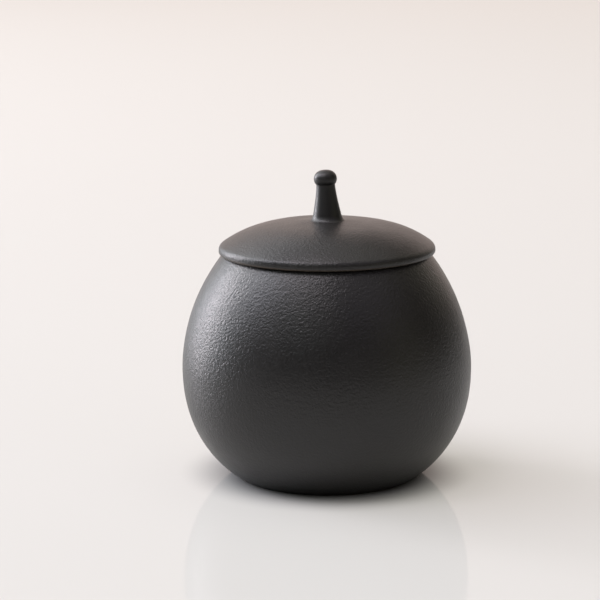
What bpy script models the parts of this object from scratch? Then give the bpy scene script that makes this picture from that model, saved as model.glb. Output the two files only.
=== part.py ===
"""Lidded sugar bowl in matt black stoneware: a turned bowl, a domed lid and the knob luted on it.

Metres, +Z up. The origin is on the turning axis, on the plane that the foot ring stands on.
Every piece is turned from a profile of (radius, height) points that starts and ends on the axis.
"""

import math

import bmesh
import bpy
from mathutils import Matrix

MM = 0.001

# Outside of the bowl: the widest circle, with a full curve down to the foot and one up to the lip
BELLY_RADIUS = 50.0 * MM
BELLY_HEIGHT = 38.7 * MM
FOOT_RADIUS = 30.9 * MM
FOOT_FULLNESS = 2.27
LIP_RADIUS = 35.4 * MM
LIP_HEIGHT = 78.0 * MM
SHOULDER_FULLNESS = 1.83
LIP_OUTER_ROUND = 1.5 * MM
FOOT_ROUND = 0.7 * MM

# Inside of the bowl: wall at the belly, lip width, and a floor that runs into the wall in one curve
WALL = 4.0 * MM
LIP_WIDTH = 4.4 * MM
LIP_DEPTH = 3.0 * MM
LIP_INNER_ROUND = 1.0 * MM
FLOOR_THICKNESS = 4.6 * MM
INSIDE_FULLNESS = 3.0

# Foot ring: the flat land that stands on the table, and the shallow recess inside it
FOOT_LAND = 4.5 * MM
RECESS_DEPTH = 1.6 * MM
RECESS_SLOPE = 1.0 * MM

# Lid: a dome that falls ever faster towards its round edge, and the flat underside that rests on the lip
LID_OVERHANG = 1.85 * MM
LID_HEIGHT = 10.45 * MM
LID_EDGE_HEIGHT = 1.6 * MM
LID_BAND = 0.2 * MM
LID_CORNER_ROUND = 0.15 * MM
DOME_FULLNESS = 3.4
LID_THICKNESS = 4.0 * MM

# Locating flange under the lid, which hangs inside the mouth
FLANGE_DEPTH = 6.5 * MM
FLANGE_THICKNESS = 3.0 * MM
FLANGE_ROUND = 1.2 * MM
FLANGE_CLEARANCE = 0.8 * MM
CEILING_ROUND = 1.5 * MM

# Knob: ball head, waisted stem and the bead of slip at its foot
KNOB_HEIGHT = 17.5 * MM
KNOB_HEAD_RADIUS = 3.95 * MM
KNOB_HEAD_HEIGHT = 6.0 * MM
KNOB_NECK_RADIUS = 3.05 * MM
KNOB_STEM_RADIUS = 4.75 * MM
KNOB_STEM_SWEEP = 1.4
KNOB_BEAD_RADIUS = 5.4 * MM
KNOB_BEAD_HEIGHT = 1.2 * MM
KNOB_OFFSET = 0.55 * MM
KNOB_LEAN = math.radians(4.5)
KNOB_SEAT_MARGIN = 0.4 * MM

# Glazes: colour and roughness
BOWL_BLACK = (0.030, 0.029, 0.030)
BOWL_ROUGHNESS = 0.42
LID_BLACK = (0.032, 0.031, 0.031)
LID_ROUGHNESS = 0.44
KNOB_BLACK = (0.024, 0.023, 0.023)
KNOB_ROUGHNESS = 0.34

# Clearance between pieces that lie on each other, and the distance under which points are one
REST_GAP = 0.3 * MM
SAME_POINT = 0.01 * MM

# Facets
TURN_STEPS = 56
KNOB_STEPS = 24
CURVE_STEPS = 10
DOME_STEPS = 14
ROUND_STEPS = 4
SHARP_ANGLE = math.radians(40.0)

MOUTH_RADIUS = LIP_RADIUS - LIP_WIDTH
FLOOR_HEIGHT = RECESS_DEPTH + FLOOR_THICKNESS
SEAT_HEIGHT = LIP_HEIGHT + REST_GAP
LID_RADIUS = LIP_RADIUS + LID_OVERHANG
FLANGE_RADIUS = MOUTH_RADIUS - FLANGE_CLEARANCE
KNOB_SEAT_RADIUS = KNOB_BEAD_RADIUS + KNOB_OFFSET + KNOB_SEAT_MARGIN


def steps_between(start, end, count):
    """Evenly spaced values from start to end, both included."""
    return [start + (end - start) * i / count for i in range(count + 1)]


def swell(widest, end_radius, rise, fullness, count=CURVE_STEPS):
    """A superellipse from the widest circle at height 0 to end_radius at height rise.

    A fullness of 2 is an ellipse, and a higher one is squarer.
    """
    share = (1 - (end_radius / widest) ** fullness) ** (1 / fullness)
    last = math.asin(share ** (fullness / 2))
    power = 2 / fullness
    return [
        (widest * math.cos(turn) ** power, rise / share * math.sin(turn) ** power)
        for turn in steps_between(0, last, count)
    ]


def raised(points, height):
    """The same outline at another height."""
    return [(radius, height + z) for radius, z in points]


def hung(points, height):
    """The same outline upside down, hung from a height."""
    return [(radius, height - z) for radius, z in points]


def fillet(before, corner, after, radius, count=ROUND_STEPS):
    """Points of the arc that rounds a corner of an outline."""
    ways = []
    for end in (before, after):
        length = math.dist(corner, end)
        ways.append(((end[0] - corner[0]) / length, (end[1] - corner[1]) / length))
    (ax, az), (bx, bz) = ways
    half = math.acos(max(-1.0, min(1.0, ax * bx + az * bz))) / 2
    reach = radius / math.sin(half)
    middle = math.hypot(ax + bx, az + bz)
    centre = (corner[0] + reach * (ax + bx) / middle, corner[1] + reach * (az + bz) / middle)
    run = radius / math.tan(half)
    first = (corner[0] + run * ax, corner[1] + run * az)
    last = (corner[0] + run * bx, corner[1] + run * bz)
    start = math.atan2(first[1] - centre[1], first[0] - centre[0])
    sweep = math.atan2(last[1] - centre[1], last[0] - centre[0]) - start
    sweep = math.remainder(sweep, 2 * math.pi)
    return [
        (centre[0] + radius * math.cos(start + sweep * t), centre[1] + radius * math.sin(start + sweep * t))
        for t in steps_between(0, 1, count)
    ]


def outline(corners):
    """Joins (point, rounding) corners into one line of points, with an arc at each rounded corner."""
    points = []
    for index, (corner, rounding) in enumerate(corners):
        if rounding:
            points += fillet(corners[index - 1][0], corner, corners[index + 1][0], rounding)
        else:
            points.append(corner)
    return points


def plain(points):
    """Corners that keep their places, for outline."""
    return [(point, 0) for point in points]


def glaze(name, colour, roughness):
    """A dark ceramic glaze."""
    material = bpy.data.materials.new(name)
    material.use_nodes = True
    shader = material.node_tree.nodes["Principled BSDF"]
    shader.inputs["Base Color"].default_value = (*colour, 1)
    shader.inputs["Roughness"].default_value = roughness
    shader.inputs["Metallic"].default_value = 0
    return material


def turned(name, profile, steps, material, lean=0.0):
    """A solid of revolution about Z, closed where its profile meets the axis.

    A lean pushes it over towards -X, with its foot left flat.
    """
    shape = bmesh.new()
    points = [shape.verts.new((radius, 0, z)) for radius, z in profile]
    line = [shape.edges.new(pair) for pair in zip(points, points[1:])]
    bmesh.ops.spin(
        shape,
        geom=points + line,
        cent=(0, 0, 0),
        axis=(0, 0, 1),
        angle=2 * math.pi,
        steps=steps,
        use_merge=True,
    )
    bmesh.ops.remove_doubles(shape, verts=shape.verts, dist=SAME_POINT)
    bmesh.ops.recalc_face_normals(shape, faces=shape.faces)
    bmesh.ops.transform(shape, matrix=Matrix.Shear("XY", 4, (-math.tan(lean), 0)), verts=shape.verts)
    mesh = bpy.data.meshes.new(name)
    shape.to_mesh(mesh)
    shape.free()
    mesh.shade_smooth()
    mesh.set_sharp_from_angle(angle=SHARP_ANGLE)
    mesh.materials.append(material)
    piece = bpy.data.objects.new(name, mesh)
    bpy.context.scene.collection.objects.link(piece)
    return piece


def bowl_profile():
    """From the middle of the floor up the inside, over the lip, down the outside and under the foot."""
    inside = BELLY_RADIUS - WALL
    floor = hung(swell(inside, 0, BELLY_HEIGHT - FLOOR_HEIGHT, INSIDE_FULLNESS), BELLY_HEIGHT)
    rise = LIP_HEIGHT - BELLY_HEIGHT
    neck = raised(swell(inside, MOUTH_RADIUS, rise - LIP_DEPTH, SHOULDER_FULLNESS), BELLY_HEIGHT)
    shoulder = raised(swell(BELLY_RADIUS, LIP_RADIUS, rise, SHOULDER_FULLNESS), BELLY_HEIGHT)
    flank = hung(swell(BELLY_RADIUS, FOOT_RADIUS, BELLY_HEIGHT, FOOT_FULLNESS), BELLY_HEIGHT)
    land_end = FOOT_RADIUS - FOOT_LAND
    return outline(
        plain(floor[::-1] + neck[1:])
        + [((MOUTH_RADIUS, LIP_HEIGHT), LIP_INNER_ROUND), (shoulder[-1], LIP_OUTER_ROUND)]
        + plain(shoulder[-2:0:-1] + flank[:-1])
        + [
            (flank[-1], FOOT_ROUND),
            ((land_end, 0), 0),
            ((land_end - RECESS_SLOPE, RECESS_DEPTH), 0),
            ((0, RECESS_DEPTH), 0),
        ]
    )


def dome_height(radius):
    """Height of the lid's upper side above the seat, at a distance from the axis."""
    return LID_HEIGHT - (LID_HEIGHT - LID_EDGE_HEIGHT) * (radius / LID_RADIUS) ** DOME_FULLNESS


def lid_profile():
    """From the knob's seat down the dome and round its edge, along the seat, round the flange and up inside.

    Heights count from the underside that lies on the lip. The edge is one round from the dome to the low
    upright band over the seat, so its radius follows from the dome's slope there.
    """
    edge_run = LID_EDGE_HEIGHT - LID_BAND
    rings = steps_between(KNOB_SEAT_RADIUS, LID_RADIUS - edge_run, DOME_STEPS)
    dome = [(0, dome_height(KNOB_SEAT_RADIUS))] + [(ring, dome_height(ring)) for ring in rings]
    slope = math.atan2(dome[-1][1] - LID_EDGE_HEIGHT, edge_run)
    edge_round = edge_run * math.tan(math.pi / 4 + slope / 2)
    inner = FLANGE_RADIUS - FLANGE_THICKNESS
    ceiling = [
        (ring, dome_height(max(ring, KNOB_SEAT_RADIUS)) - LID_THICKNESS)
        for ring in steps_between(inner, 0, CURVE_STEPS)
    ]
    return outline(
        plain(dome)
        + [
            ((LID_RADIUS, LID_EDGE_HEIGHT), edge_round),
            ((LID_RADIUS, 0), LID_CORNER_ROUND),
            ((FLANGE_RADIUS, 0), 0),
            ((FLANGE_RADIUS, -FLANGE_DEPTH), FLANGE_ROUND),
            ((inner, -FLANGE_DEPTH), FLANGE_ROUND),
            (ceiling[0], CEILING_ROUND),
        ]
        + plain(ceiling[1:])
    )


def knob_profile():
    """From the top of the head down to the neck, along the stem and round the bead to the seat."""
    half = KNOB_HEAD_HEIGHT / 2
    head_height = KNOB_HEIGHT - half
    under = math.acos(KNOB_NECK_RADIUS / KNOB_HEAD_RADIUS)
    head = [
        (KNOB_HEAD_RADIUS * math.cos(turn), head_height + half * math.sin(turn))
        for turn in steps_between(math.pi / 2, -under, CURVE_STEPS)
    ]
    neck_height = head[-1][1]
    flare = KNOB_STEM_RADIUS - KNOB_NECK_RADIUS
    stem = [
        (KNOB_NECK_RADIUS + flare * t**KNOB_STEM_SWEEP, neck_height + (KNOB_BEAD_HEIGHT - neck_height) * t)
        for t in steps_between(0, 1, CURVE_STEPS)
    ]
    half_bead = KNOB_BEAD_HEIGHT / 2
    swelling = KNOB_BEAD_RADIUS - KNOB_STEM_RADIUS
    bead = [
        (KNOB_STEM_RADIUS + swelling * math.cos(turn), half_bead + half_bead * math.sin(turn))
        for turn in steps_between(math.pi / 2, -math.pi / 2, 2 * ROUND_STEPS)
    ]
    return head + stem[1:] + bead[1:] + [(0, 0)]


for old in list(bpy.data.objects):
    bpy.data.objects.remove(old)

bowl = turned("bowl", bowl_profile(), TURN_STEPS, glaze("bowl_glaze", BOWL_BLACK, BOWL_ROUGHNESS))

lid_lift = bpy.data.objects.new("lid_lift", None)
lid_lift.location = (0, 0, SEAT_HEIGHT)
bpy.context.scene.collection.objects.link(lid_lift)

lid = turned("lid", lid_profile(), TURN_STEPS, glaze("lid_glaze", LID_BLACK, LID_ROUGHNESS))
lid.parent = lid_lift

knob_glaze = glaze("knob_glaze", KNOB_BLACK, KNOB_ROUGHNESS)
knob = turned("lid_knob", knob_profile(), KNOB_STEPS, knob_glaze, KNOB_LEAN)
knob.parent = lid
knob.location = (KNOB_OFFSET, 0, dome_height(KNOB_SEAT_RADIUS) + REST_GAP)
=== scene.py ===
"""Lidded sugar bowl in matt black stoneware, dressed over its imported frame: bowl, lid and knob."""

import math

import bpy
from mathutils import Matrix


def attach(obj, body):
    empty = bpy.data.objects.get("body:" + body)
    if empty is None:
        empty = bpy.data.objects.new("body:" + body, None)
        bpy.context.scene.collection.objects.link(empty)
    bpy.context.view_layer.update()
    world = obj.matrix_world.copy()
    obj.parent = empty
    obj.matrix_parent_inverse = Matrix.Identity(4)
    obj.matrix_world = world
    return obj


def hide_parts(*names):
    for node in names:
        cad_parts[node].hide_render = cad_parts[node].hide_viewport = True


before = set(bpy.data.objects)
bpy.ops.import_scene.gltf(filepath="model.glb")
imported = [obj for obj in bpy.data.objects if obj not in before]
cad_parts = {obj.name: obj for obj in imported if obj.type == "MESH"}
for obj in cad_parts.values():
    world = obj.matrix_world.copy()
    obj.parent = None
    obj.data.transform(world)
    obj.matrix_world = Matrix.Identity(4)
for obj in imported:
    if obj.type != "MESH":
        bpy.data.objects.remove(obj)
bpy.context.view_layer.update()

# The bowl is one piece of stoneware, turned on the wheel: foot ring, belly, shoulder and lip are the same
# clay. It was dipped in a thick glaze that fired to a matt black, leathery skin, smoother where it ran down
# and pooled, and the ring that it stands on was wiped clean so that it wouldn't stick to the kiln shelf.
MM = 0.001
BELLY_RADIUS = 50.0 * MM
BELLY_HEIGHT = 38.7 * MM
FOOT_RADIUS = 30.9 * MM
FOOT_FULLNESS = 2.27
FOOT_ROUND = 0.7 * MM
LIP_RADIUS = 35.4 * MM
LIP_HEIGHT = 78.0 * MM
SHOULDER_FULLNESS = 1.83
LIP_OUTER_ROUND = 1.5 * MM
LIP_INNER_ROUND = 1.0 * MM
LIP_BLEND = 2 * LIP_OUTER_ROUND
MOUTH_RADIUS = 31.0 * MM
MOUTH_DEPTH = 3.0 * MM
INSIDE_RADIUS = 46.0 * MM
INSIDE_FULLNESS = 3.0
FLOOR_HEIGHT = 6.2 * MM
LAND_RADIUS = 26.4 * MM
RECESS_RADIUS = 25.4 * MM
RECESS_HEIGHT = 1.6 * MM
BOWL_STEPS = 448
SKIN_STEPS = 72
INSIDE_STEPS = 22
ROUND_STEPS = 6
WELD_DISTANCE = 0.01 * MM
SHARP_ANGLE = math.radians(40)

BELLY_WAVE = 34.0 * MM
BELLY_WAVE_DEPTH = 0.35 * MM
PEEL_SIZE = 2.0 * MM
BOWL_PEEL_DEPTH = 0.035 * MM
LIP_PLAIN = 1.0 * MM
SKIN_FADE = 3.0 * MM

BOWL_BLACK = (0.0075, 0.0072, 0.0075)
BOWL_THIN_BLACK = (0.011, 0.0098, 0.009)
BOWL_ROUGHNESS = 0.38
GLOSS_SPREAD = 0.04
GRAIN_SIZE = 0.8 * MM
BOWL_GRAIN_DEPTH = 0.20 * MM
POOLED_HEIGHT = 5.0 * MM
POOLED_GRAIN = 0.35
CLAY_DARK = (0.150, 0.118, 0.094)
CLAY_PALE = (0.270, 0.216, 0.172)
CLAY_SPECK = (0.045, 0.034, 0.028)
CLAY_GRAIN_DEPTH = 0.08 * MM
WIPED_HEIGHT = 0.1 * MM


def steps_between(start, end, count):
    """Evenly spaced values from start to end, both included."""
    return [start + (end - start) * i / count for i in range(count + 1)]


def swell(widest, end_radius, rise, fullness, count):
    """A full curve of (radius, height) points, from the widest circle at height 0 to end_radius at rise."""
    share = (1 - (end_radius / widest) ** fullness) ** (1 / fullness)
    last = math.asin(share ** (fullness / 2))
    power = 2 / fullness
    return [
        (widest * math.cos(turn) ** power, rise / share * math.sin(turn) ** power)
        for turn in steps_between(0, last, count)
    ]


def rounded(line, corner, after, radius, count=ROUND_STEPS):
    """The line with a round corner added at its end, in place of the points that the round takes up."""
    ways = []
    for end in (line[-1], after):
        length = math.dist(corner, end)
        ways.append(((end[0] - corner[0]) / length, (end[1] - corner[1]) / length))
    (ax, az), (bx, bz) = ways
    half = math.acos(ax * bx + az * bz) / 2
    run = radius / math.tan(half)
    reach = radius / math.sin(half) / math.hypot(ax + bx, az + bz)
    middle = (corner[0] + reach * (ax + bx), corner[1] + reach * (az + bz))
    start = math.atan2(corner[1] + run * az - middle[1], corner[0] + run * ax - middle[0])
    end = math.atan2(corner[1] + run * bz - middle[1], corner[0] + run * bx - middle[0])
    sweep = math.remainder(end - start, 2 * math.pi)
    return [point for point in line if math.dist(point, corner) > run] + [
        (middle[0] + radius * math.cos(turn), middle[1] + radius * math.sin(turn))
        for turn in steps_between(start, start + sweep, count)
    ]


def turned(name, profile, steps):
    """A piece turned on the wheel: its profile drawn point by point, then carried round the upright axis."""
    bpy.ops.object.select_all(action="DESELECT")
    bpy.ops.mesh.primitive_plane_add(size=MM, location=(0, 0, 0))
    piece = bpy.context.object
    piece.name = piece.data.name = name
    bpy.ops.object.mode_set(mode="EDIT")
    bpy.ops.mesh.select_all(action="SELECT")
    bpy.ops.mesh.merge(type="CENTER")
    bpy.ops.transform.translate(value=(profile[0][0], 0, profile[0][1]))
    for (r0, z0), (r1, z1) in zip(profile, profile[1:]):
        bpy.ops.mesh.extrude_vertices_move(TRANSFORM_OT_translate={"value": (r1 - r0, 0, z1 - z0)})
    bpy.ops.object.mode_set(mode="OBJECT")
    bpy.ops.object.modifier_add(type="SCREW")
    wheel = piece.modifiers[-1]
    wheel.axis = "Z"
    wheel.angle = 2 * math.pi
    wheel.screw_offset = 0
    wheel.steps = wheel.render_steps = steps
    wheel.use_merge_vertices = True
    wheel.merge_threshold = WELD_DISTANCE
    bpy.ops.object.modifier_apply(modifier=wheel.name)
    bpy.ops.object.mode_set(mode="EDIT")
    bpy.ops.mesh.select_all(action="SELECT")
    bpy.ops.mesh.remove_doubles(threshold=WELD_DISTANCE)
    bpy.ops.mesh.normals_make_consistent(inside=False)
    bpy.ops.object.mode_set(mode="OBJECT")
    return piece


def uneven(piece, name, size, depth, share):
    """Moves the skin in and out by a smooth random pattern, as much as the share at each place allows."""
    group = piece.vertex_groups.new(name=name)
    for vertex in piece.data.vertices:
        group.add([vertex.index], share(vertex.co), "REPLACE")
    pattern = bpy.data.textures.new(name, "CLOUDS")
    pattern.noise_scale = size
    pattern.noise_depth = 1
    bpy.ops.object.select_all(action="DESELECT")
    piece.select_set(True)
    bpy.context.view_layer.objects.active = piece
    bpy.ops.object.modifier_add(type="DISPLACE")
    push = piece.modifiers[-1]
    push.texture = pattern
    push.texture_coords = "LOCAL"
    push.vertex_group = name
    push.strength = depth
    push.mid_level = 0.5
    bpy.ops.object.modifier_apply(modifier=push.name)


# The profile runs from the middle of the inside up to the mouth, over the lip, down the wall and in
# under the foot.
inside_low = swell(INSIDE_RADIUS, 0, BELLY_HEIGHT - FLOOR_HEIGHT, INSIDE_FULLNESS, INSIDE_STEPS)
inside_rise = LIP_HEIGHT - MOUTH_DEPTH - BELLY_HEIGHT
inside_high = swell(INSIDE_RADIUS, MOUTH_RADIUS, inside_rise, SHOULDER_FULLNESS, INSIDE_STEPS)
wall_high = swell(BELLY_RADIUS, LIP_RADIUS, LIP_HEIGHT - BELLY_HEIGHT, SHOULDER_FULLNESS, SKIN_STEPS)
wall_low = swell(BELLY_RADIUS, FOOT_RADIUS, BELLY_HEIGHT, FOOT_FULLNESS, SKIN_STEPS)
inside = [(r, BELLY_HEIGHT - z) for r, z in inside_low[::-1]]
inside += [(r, BELLY_HEIGHT + z) for r, z in inside_high[1:]]
shoulder = [(r, BELLY_HEIGHT + z) for r, z in wall_high[::-1]]
flank = [(r, BELLY_HEIGHT - z) for r, z in wall_low]
lip = (LIP_RADIUS, LIP_HEIGHT)
shoulder = [point for point in shoulder if math.dist(point, lip) > LIP_BLEND]
profile = rounded(inside, (MOUTH_RADIUS, LIP_HEIGHT), lip, LIP_INNER_ROUND)
profile = rounded(profile, lip, shoulder[0], LIP_OUTER_ROUND)
profile = rounded(profile + shoulder + flank[1:-1], flank[-1], (LAND_RADIUS, 0), FOOT_ROUND)
profile += [(LAND_RADIUS, 0), (RECESS_RADIUS, RECESS_HEIGHT), (0, RECESS_HEIGHT)]
bowl = turned("bowl_body", profile, BOWL_STEPS)


def on_bowl_skin(place):
    """1 on the wall of the bowl, fading to 0 within the last millimetres at its lip and foot."""
    if math.hypot(place.x, place.y) < FOOT_RADIUS:
        return 0.0
    depth = min(place.z - FOOT_ROUND, LIP_HEIGHT - LIP_PLAIN - place.z)
    return max(0.0, min(1.0, depth / SKIN_FADE))


uneven(bowl, "hand_turned_belly", BELLY_WAVE, BELLY_WAVE_DEPTH, on_bowl_skin)
uneven(bowl, "bowl_orange_peel", PEEL_SIZE, BOWL_PEEL_DEPTH, on_bowl_skin)
bpy.ops.object.shade_smooth_by_angle(angle=SHARP_ANGLE)


def link_up(tree, kind, inputs, **settings):
    """Adds a shader node, sets its properties, and fills its sockets with values or links."""
    made = tree.nodes.new(kind)
    for name, value in settings.items():
        setattr(made, name, value)
    for socket, value in inputs.items():
        if isinstance(value, bpy.types.NodeSocket):
            tree.links.new(value, made.inputs[socket])
        else:
            made.inputs[socket].default_value = value
    return made


def mixed_colour(tree, factor, first, second):
    """A colour between two others, each given as a value or as another node's output."""
    mix = link_up(tree, "ShaderNodeMix", {}, data_type="RGBA")
    for socket, value in ((mix.inputs[0], factor), (mix.inputs[6], first), (mix.inputs[7], second)):
        if isinstance(value, bpy.types.NodeSocket):
            tree.links.new(value, socket)
        else:
            socket.default_value = (*value, 1)
    return mix.outputs[2]


def black_glaze(name, dark, thin, roughness, grain_size, grain_depth):
    """A matt black glaze: crisp worm-like wrinkles, and clouds of a browner black where the coat is thin."""
    material = bpy.data.materials.new(name)
    material.use_nodes = True
    tree = material.node_tree
    shader = tree.nodes["Principled BSDF"]
    place = tree.nodes.new("ShaderNodeTexCoord").outputs["Object"]
    wrinkles = link_up(
        tree, "ShaderNodeTexNoise",
        {"Vector": place, "Scale": 1 / grain_size, "Detail": 1.5, "Roughness": 0.5, "Distortion": 0.5},
    )
    clouds = link_up(
        tree, "ShaderNodeTexNoise", {"Vector": place, "Scale": 45, "Detail": 3.0, "Roughness": 0.6}
    )
    tree.links.new(mixed_colour(tree, clouds.outputs["Fac"], dark, thin), shader.inputs["Base Color"])
    gloss = link_up(
        tree, "ShaderNodeMapRange",
        {"Value": clouds.outputs["Fac"], "From Min": 0.3, "From Max": 0.7,
         "To Min": roughness - GLOSS_SPREAD, "To Max": roughness + GLOSS_SPREAD},
    )
    tree.links.new(gloss.outputs["Result"], shader.inputs["Roughness"])
    bump = link_up(
        tree, "ShaderNodeBump", {"Height": wrinkles.outputs["Fac"], "Distance": grain_depth, "Strength": 1.0}
    )
    tree.links.new(bump.outputs["Normal"], shader.inputs["Normal"])
    return material


def bare_clay(name):
    """Fired stoneware without glaze: grey-brown, rough, with dark specks of iron."""
    material = bpy.data.materials.new(name)
    material.use_nodes = True
    tree = material.node_tree
    shader = tree.nodes["Principled BSDF"]
    shader.inputs["Specular IOR Level"].default_value = 0.25
    place = tree.nodes.new("ShaderNodeTexCoord").outputs["Object"]
    body = link_up(
        tree, "ShaderNodeTexNoise", {"Vector": place, "Scale": 220, "Detail": 5.0, "Roughness": 0.65}
    )
    specks = link_up(tree, "ShaderNodeTexVoronoi", {"Vector": place, "Scale": 420})
    speck = link_up(
        tree, "ShaderNodeMapRange",
        {"Value": specks.outputs["Distance"], "From Min": 0.12, "From Max": 0.22,
         "To Min": 1.0, "To Max": 0.0},
    )
    tone = mixed_colour(tree, body.outputs["Fac"], CLAY_DARK, CLAY_PALE)
    speckled = mixed_colour(tree, speck.outputs["Result"], tone, CLAY_SPECK)
    tree.links.new(speckled, shader.inputs["Base Color"])
    matt = link_up(
        tree, "ShaderNodeMapRange", {"Value": body.outputs["Fac"], "To Min": 0.72, "To Max": 0.95}
    )
    tree.links.new(matt.outputs["Result"], shader.inputs["Roughness"])
    bump = link_up(
        tree, "ShaderNodeBump",
        {"Height": body.outputs["Fac"], "Distance": CLAY_GRAIN_DEPTH, "Strength": 1.0},
    )
    tree.links.new(bump.outputs["Normal"], shader.inputs["Normal"])
    return material


def wipe_clean(piece, where):
    """Gives the faces that were wiped before firing the piece's second material, bare clay."""
    for face in piece.data.polygons:
        if where(face.center):
            face.material_index = 1


bowl_glaze = black_glaze(
    "bowl_black_glaze", BOWL_BLACK, BOWL_THIN_BLACK, BOWL_ROUGHNESS, GRAIN_SIZE, BOWL_GRAIN_DEPTH
)
tree = bowl_glaze.node_tree
place = tree.nodes["Texture Coordinate"].outputs["Object"]
height = link_up(tree, "ShaderNodeSeparateXYZ", {"Vector": place}).outputs["Z"]
pooled = link_up(
    tree, "ShaderNodeMapRange",
    {"Value": height, "From Min": POOLED_HEIGHT, "From Max": BELLY_HEIGHT,
     "To Min": POOLED_GRAIN, "To Max": 1.0},
    interpolation_type="SMOOTHSTEP",
)
tree.links.new(pooled.outputs["Result"], tree.nodes["Bump"].inputs["Strength"])
bowl.data.materials.append(bowl_glaze)
bowl.data.materials.append(bare_clay("foot_bare_clay"))
wipe_clean(bowl, lambda place: place.z < WIPED_HEIGHT)
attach(bowl, "bowl")
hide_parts("bowl")

# The lid is a turned stoneware dome that lies loose on the lip, with a full round edge where the glaze
# breaks brown at the lower corner, and that brown is made lighter as a painted reflection of the table. A
# ring under it hangs inside the mouth to keep it in place; seat and ring were wiped, and are bare clay.
SEAT_HEIGHT = 78.3 * MM
LID_RADIUS = 37.25 * MM
LID_HEIGHT = 10.45 * MM
DOME_FULLNESS = 3.4
RISE_HEIGHT = 0.5 * MM
RISE_START = 5.0 * MM
RISE_END = 14.0 * MM
LID_EDGE_HEIGHT = 2.1 * MM
LID_BAND = 0.9 * MM
LID_CORNER = 1.0 * MM
LID_DROP = 0.45 * MM
RIM_INSIDE = 36.0 * MM
LID_THICKNESS = 4.0 * MM
FLANGE_RADIUS = 30.2 * MM
FLANGE_INSIDE = 27.2 * MM
FLANGE_DEPTH = 6.5 * MM
FLANGE_ROUND = 1.2 * MM
CEILING_ROUND = 1.5 * MM
CEILING_BLEND = 1.6 * CEILING_ROUND
LID_TILT = math.radians(0.45)
LID_STEPS = 400
DOME_STEPS = 84
EDGE_STEPS = 24
CORNER_STEPS = 12

DOME_WAVE = 26.0 * MM
DOME_WAVE_DEPTH = 0.3 * MM
LID_PEEL_DEPTH = 0.03 * MM
DOME_SKIN = 1.0 * MM
SEAT_SKIN = 0.02 * MM
KNOB_PLACE = 8.0 * MM

LID_BLACK = (0.0085, 0.008, 0.008)
LID_THIN_BLACK = (0.012, 0.0105, 0.0095)
LID_ROUGHNESS = 0.40
LID_GRAIN_DEPTH = 0.16 * MM
# Brown of the thin glaze at the lid's lower corner, made lighter as a painted reflection of the table.
BROWN_BREAK_AND_REFLECTION = (0.060, 0.046, 0.035)
BROWN_REFLECTION_HEIGHT = SEAT_HEIGHT + 0.1 * MM
BROWN_REFLECTION_FADE = 0.4 * MM


def dome_height(radius):
    """Height of the dome at a distance from the axis, with its low rise towards the knob."""
    fall = (LID_HEIGHT - LID_EDGE_HEIGHT) * (radius / LID_RADIUS) ** DOME_FULLNESS
    near = (RISE_END - min(max(radius, RISE_START), RISE_END)) / (RISE_END - RISE_START)
    return SEAT_HEIGHT + LID_HEIGHT - fall + RISE_HEIGHT * near**2


# The profile runs from the top of the dome out over the round edge, in along the seat, round the end of
# the ring and back to the middle under the dome.
edge_run = LID_EDGE_HEIGHT - LID_BAND
edge_start = LID_RADIUS - edge_run
edge = (LID_RADIUS, SEAT_HEIGHT + LID_EDGE_HEIGHT)
dome = [(r, dome_height(r)) for r in steps_between(0, edge_start, DOME_STEPS)]
slope = math.atan2(dome[-1][1] - edge[1], edge_run)
edge_round = edge_run * math.tan(math.pi / 4 + slope / 2)
ceiling = [
    (r, dome_height(r) - LID_THICKNESS) for r in steps_between(FLANGE_INSIDE, 0, INSIDE_STEPS)
]
rim_foot = SEAT_HEIGHT - LID_DROP
flange_end = SEAT_HEIGHT - FLANGE_DEPTH
profile = rounded(dome, edge, (LID_RADIUS, SEAT_HEIGHT), edge_round, EDGE_STEPS)
profile = rounded(profile, (LID_RADIUS, rim_foot), (RIM_INSIDE, rim_foot), LID_CORNER, CORNER_STEPS)
profile += [(RIM_INSIDE, rim_foot), (LIP_RADIUS, SEAT_HEIGHT), (FLANGE_RADIUS, SEAT_HEIGHT)]
profile = rounded(profile, (FLANGE_RADIUS, flange_end), (FLANGE_INSIDE, flange_end), FLANGE_ROUND)
profile = rounded(profile, (FLANGE_INSIDE, flange_end), ceiling[0], FLANGE_ROUND)
profile = rounded(profile, ceiling[0], ceiling[1], CEILING_ROUND)
profile += [point for point in ceiling[1:] if math.dist(point, ceiling[0]) > CEILING_BLEND]
lid = turned("lid_dome", profile, LID_STEPS)


def on_lid_skin(place):
    """1 on the dome, fading to 0 towards its round edge and the place where the knob stands."""
    radius = math.hypot(place.x, place.y)
    if place.z < dome_height(radius) - DOME_SKIN:
        return 0.0
    depth = min(radius - KNOB_PLACE, edge_start - radius)
    return max(0.0, min(1.0, depth / SKIN_FADE))


def on_lid_seat(place):
    """The flat ring that lies on the lip, and the outside and end of the ring that hangs in the mouth."""
    radius = math.hypot(place.x, place.y)
    return place.z < SEAT_HEIGHT + SEAT_SKIN and FLANGE_INSIDE + FLANGE_ROUND / 2 < radius < LIP_RADIUS


uneven(lid, "hand_turned_dome", DOME_WAVE, DOME_WAVE_DEPTH, on_lid_skin)
uneven(lid, "lid_orange_peel", PEEL_SIZE, LID_PEEL_DEPTH, on_lid_skin)
lid_glaze = black_glaze(
    "lid_black_glaze", LID_BLACK, LID_THIN_BLACK, LID_ROUGHNESS, GRAIN_SIZE, LID_GRAIN_DEPTH
)
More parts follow.
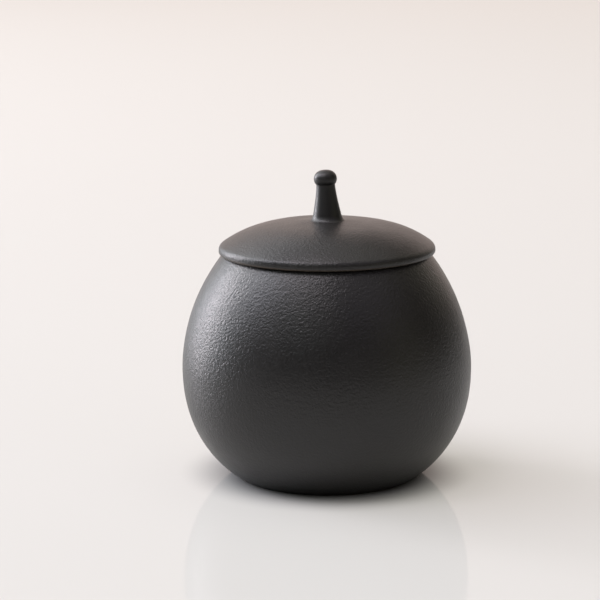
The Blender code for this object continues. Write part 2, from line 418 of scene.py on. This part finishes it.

# The glaze is thin, and so brown, where it is both outside the dome and below the brown line; that brown is
# lighter than thin glaze alone, a painted reflection of the table on the lower corner.
tree = lid_glaze.node_tree
shader = tree.nodes["Principled BSDF"]
place = tree.nodes["Texture Coordinate"].outputs["Object"]
split = link_up(tree, "ShaderNodeSeparateXYZ", {"Vector": place})
level = link_up(tree, "ShaderNodeCombineXYZ", {"X": split.outputs["X"], "Y": split.outputs["Y"]})
reach = link_up(tree, "ShaderNodeVectorMath", {0: level.outputs["Vector"]}, operation="LENGTH")
outside = link_up(
    tree, "ShaderNodeMapRange",
    {"Value": reach.outputs["Value"],
     "From Min": edge_start - BROWN_REFLECTION_FADE, "From Max": edge_start + BROWN_REFLECTION_FADE},
    interpolation_type="SMOOTHSTEP",
)
below = link_up(
    tree, "ShaderNodeMapRange",
    {"Value": split.outputs["Z"],
     "From Min": BROWN_REFLECTION_HEIGHT + BROWN_REFLECTION_FADE, "From Max": BROWN_REFLECTION_HEIGHT - BROWN_REFLECTION_FADE},
    interpolation_type="SMOOTHSTEP",
)
thin = link_up(
    tree, "ShaderNodeMath", {0: below.outputs["Result"], 1: outside.outputs["Result"]}, operation="MULTIPLY"
)
black = shader.inputs["Base Color"].links[0].from_socket
tree.links.new(mixed_colour(tree, thin.outputs["Value"], black, BROWN_BREAK_AND_REFLECTION), shader.inputs["Base Color"])
lid.data.materials.append(lid_glaze)
lid.data.materials.append(bare_clay("seat_bare_clay"))
wipe_clean(lid, on_lid_seat)
bpy.ops.object.mode_set(mode="EDIT")
bpy.ops.mesh.select_all(action="SELECT")
bpy.ops.transform.rotate(value=LID_TILT, orient_axis="Y", center_override=(0, 0, SEAT_HEIGHT))
bpy.ops.object.mode_set(mode="OBJECT")
bpy.ops.object.shade_smooth_by_angle(angle=SHARP_ANGLE)
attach(lid, "lid")
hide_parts("lid")

# The knob was turned apart from the lid and stuck on with slip while both were leather-hard: it stands a
# little off the middle, leans a few degrees, and a cove of slip, smoothed with a finger, closes the joint.
KNOB_FOOT = 89.03 * MM
KNOB_HEIGHT = 17.5 * MM
KNOB_HEAD_RADIUS = 3.95 * MM
KNOB_HEAD_HEIGHT = 6.35 * MM
KNOB_HEAD_FULLNESS = 2.3
KNOB_NECK_RADIUS = 3.2 * MM
KNOB_STEM_RADIUS = 4.75 * MM
KNOB_STEM_FOOT = 2.6 * MM
KNOB_STEM_SWEEP = 1.4
KNOB_COVE_START = math.radians(12)
KNOB_COVE_RADIUS = 6.55 * MM
KNOB_SINK = 0.6 * MM
KNOB_OFFSET = 0.15 * MM
KNOB_LEAN = math.radians(2.95)
KNOB_LEAN_START = 0.99 * KNOB_STEM_FOOT
KNOB_STEPS = 112
HEAD_STEPS = 24
UNDER_HEAD_STEPS = 12
STEM_STEPS = 30
COVE_STEPS = 20

KNOB_BLACK = (0.0065, 0.006, 0.006)
KNOB_THIN_BLACK = (0.009, 0.008, 0.0075)
KNOB_ROUGHNESS = 0.42
KNOB_GRAIN_SIZE = 1.0 * MM
KNOB_GRAIN_DEPTH = 0.05 * MM

# The profile runs from the top of the head down to the crease of the neck, along the stem and out over
# the cove, with its heights counted from the dome.
half = KNOB_HEAD_HEIGHT / 2
middle = KNOB_HEIGHT - half
head = swell(KNOB_HEAD_RADIUS, 0, half, KNOB_HEAD_FULLNESS, HEAD_STEPS)
profile = [(r, middle + z) for r, z in head[::-1]]
under = math.acos(KNOB_NECK_RADIUS / KNOB_HEAD_RADIUS)
for turn in steps_between(0, under, UNDER_HEAD_STEPS)[1:]:
    profile.append((KNOB_HEAD_RADIUS * math.cos(turn), middle - half * math.sin(turn)))
neck = profile[-1][1]
for share in steps_between(0, 1, STEM_STEPS)[1:]:
    swept = (KNOB_STEM_RADIUS - KNOB_NECK_RADIUS) * share**KNOB_STEM_SWEEP
    profile.append((KNOB_NECK_RADIUS + swept, neck + (KNOB_STEM_FOOT - neck) * share))
cove_width = KNOB_COVE_RADIUS - KNOB_STEM_RADIUS
first_out = math.cos(KNOB_COVE_START)
first_down = math.sin(KNOB_COVE_START)
for turn in steps_between(KNOB_COVE_START, math.pi / 2, COVE_STEPS)[1:]:
    out = cove_width * (1 - math.cos(turn) / first_out)
    down = KNOB_STEM_FOOT * (math.sin(turn) - first_down) / (1 - first_down)
    profile.append((KNOB_STEM_RADIUS + out, KNOB_STEM_FOOT - down))
profile += [(KNOB_COVE_RADIUS, -KNOB_SINK), (0, -KNOB_SINK)]
knob = turned("knob", [(r, KNOB_FOOT + z) for r, z in profile], KNOB_STEPS)

# All above the cove leans, and the cove takes up the lean between the stem and the dome.
bpy.ops.object.mode_set(mode="EDIT")
bpy.ops.mesh.select_all(action="SELECT")
bpy.ops.transform.translate(value=(KNOB_OFFSET, 0, 0))
bpy.ops.mesh.select_all(action="DESELECT")
bpy.ops.object.mode_set(mode="OBJECT")
for vertex in knob.data.vertices:
    vertex.select = vertex.co.z > KNOB_FOOT + KNOB_LEAN_START
bpy.ops.object.mode_set(mode="EDIT")
bpy.ops.transform.rotate(
    value=KNOB_LEAN, orient_axis="Y", center_override=(KNOB_OFFSET, 0, KNOB_FOOT),
    use_proportional_edit=True, proportional_edit_falloff="SMOOTH",
    proportional_size=math.hypot(cove_width, KNOB_STEM_FOOT),
)
bpy.ops.object.mode_set(mode="OBJECT")
bpy.ops.object.shade_smooth_by_angle(angle=SHARP_ANGLE)
knob.data.materials.append(black_glaze(
    "knob_black_glaze", KNOB_BLACK, KNOB_THIN_BLACK, KNOB_ROUGHNESS, KNOB_GRAIN_SIZE, KNOB_GRAIN_DEPTH
))
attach(knob, "lid")
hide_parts("lid_knob")

# The table is a plain pale sheet, lacquered, so that the bowl is faintly mirrored in it. It glows though it
# is no lamp:
# painted light that keeps the shadow pale. The glow fades out towards the foot as a painted contact shadow
# round the bowl.
TABLE_SIZE = 12.0
TABLE_GREY = (0.33, 0.33, 0.33, 1)
TABLE_ROUGHNESS = 0.8
LACQUER_WEIGHT = 0.35
LACQUER_ROUGHNESS = 0.05
# The table's glow is painted light; within the last radius it fades to nothing at the foot, a painted shadow
# round the bowl.
PAINTED_GLOW_COLOUR = (1.0, 0.97, 0.88, 1)
PAINTED_GLOW_STRENGTH = 0.36
PAINTED_SHADOW_RADIUS = 53.0 * MM

bpy.ops.object.select_all(action="DESELECT")
bpy.ops.mesh.primitive_plane_add(size=TABLE_SIZE, location=(0, 0, 0))
table = bpy.context.object
table.name = table.data.name = "table_top"
white = bpy.data.materials.new("table_white")
white.use_nodes = True
tree = white.node_tree
lacquer = tree.nodes["Principled BSDF"]
lacquer.inputs["Base Color"].default_value = TABLE_GREY
lacquer.inputs["Roughness"].default_value = TABLE_ROUGHNESS
lacquer.inputs["Specular IOR Level"].default_value = 0.0
lacquer.inputs["Coat Weight"].default_value = LACQUER_WEIGHT
lacquer.inputs["Coat Roughness"].default_value = LACQUER_ROUGHNESS
lacquer.inputs["Emission Color"].default_value = PAINTED_GLOW_COLOUR
place = tree.nodes.new("ShaderNodeTexCoord").outputs["Object"]
reach = link_up(tree, "ShaderNodeVectorMath", {0: place}, operation="LENGTH")
# Painted light and shade: the glow rises from nothing at the foot to full strength, a painted contact shadow
# round the bowl.
painted_glow = link_up(
    tree, "ShaderNodeMapRange",
    {"Value": reach.outputs["Value"], "From Min": FOOT_RADIUS, "From Max": PAINTED_SHADOW_RADIUS,
     "To Max": PAINTED_GLOW_STRENGTH},
    interpolation_type="SMOOTHSTEP",
)
tree.links.new(painted_glow.outputs["Result"], lacquer.inputs["Emission Strength"])
table.data.materials.append(white)

# The light is a tall soft window on the left, a little behind, with paler panels round it and over the
# bowl, and a dim warm room at the back and right. Each panel is a plain rectangle of even light.
LIGHT_DISTANCE = 3.0
ROOM_DIM = (0.03, 0.025, 0.02, 1)


def soft_light(name, azimuth, elevation, width, height, radiance, colour):
    """A panel that faces the bowl. Its place, counted from +X towards +Y, and its size are in degrees as
    seen from the bowl, and radiance is how bright its face looks."""
    light = bpy.data.lights.new(name, "AREA")
    light.shape = "RECTANGLE"
    light.size = 2 * LIGHT_DISTANCE * math.tan(math.radians(width / 2))
    light.size_y = 2 * LIGHT_DISTANCE * math.tan(math.radians(height / 2))
    light.energy = math.pi * light.size * light.size_y * radiance
    light.color = colour
    lamp = bpy.data.objects.new(name, light)
    bpy.context.scene.collection.objects.link(lamp)
    turn = math.radians(azimuth)
    lift = math.radians(elevation)
    reach = LIGHT_DISTANCE * math.cos(lift)
    lamp.location = (reach * math.cos(turn), reach * math.sin(turn), LIGHT_DISTANCE * math.sin(lift))
    lamp.rotation_euler = (-lamp.location).to_track_quat("-Z", "Y").to_euler()
    lamp.visible_camera = False


soft_light("window", 150, 14.5, 16, 30, 14.8, (1.05, 0.95, 1.0))
soft_light("window_curtain", 150, 15, 50, 30, 1.8, (0.78, 1.04, 1.14))
soft_light("window_high", 150, 40, 30, 24, 3.0, (0.98, 1.02, 1.0))
soft_light("left_high", 183, 45, 34, 30, 4.5, (0.97, 0.97, 1.08))
soft_light("ceiling", 222, 71, 30, 30, 5.0, (1.04, 0.96, 1.02))
soft_light("room_back", 90, 15, 62, 42, 0.9, (1.18, 0.97, 0.89))
soft_light("back_high", 120, 46, 34, 28, 1.45, (0.99, 0.99, 1.03))
soft_light("right_high", 30, 46, 34, 30, 0.25, (1.06, 1.0, 0.77))
soft_light("right_side", 44, 19, 26, 24, 0.5, (1.1, 1.0, 0.85))
soft_light("right_low", 335, 14, 34, 28, 0.25, (1.04, 1.0, 0.6))
soft_light("front_right", 315, 45, 50, 30, 0.42, (1.0, 0.93, 1.1))
soft_light("front_left", 240, 40, 40, 30, 0.75, (0.97, 1.02, 1.0))
soft_light("ceiling_right", 40, 72, 50, 30, 0.85, (1.03, 1.01, 0.95))

world = bpy.data.worlds.new("studio")
world.use_nodes = True
room = world.node_tree.nodes["Background"]
room.inputs["Color"].default_value = ROOM_DIM
room.inputs["Strength"].default_value = 1.0
bpy.context.scene.world = world
bpy.context.scene.view_settings.view_transform = "Standard"

# The camera stands at the photograph's height and distance and looks a little down through a long lens,
# with the bowl a little right of the middle of the frame.
CAMERA_PLACE = (0.0, -0.8, 0.2196)
CAMERA_AIM = (-0.00909, -0.0153, 0.06419)
CAMERA_SENSOR = 36.0
CAMERA_LENS = 141.7
CAMERA_REACH = 50.0

view = bpy.data.cameras.new("camera")
view.sensor_width = CAMERA_SENSOR
view.lens = CAMERA_LENS
view.clip_end = CAMERA_REACH
camera = bpy.data.objects.new("camera", view)
bpy.context.scene.collection.objects.link(camera)
camera.location = CAMERA_PLACE
aim = camera.location.copy()
aim.x, aim.y, aim.z = (a - c for a, c in zip(CAMERA_AIM, CAMERA_PLACE))
camera.rotation_euler = aim.to_track_quat("-Z", "Y").to_euler()
bpy.context.scene.camera = camera
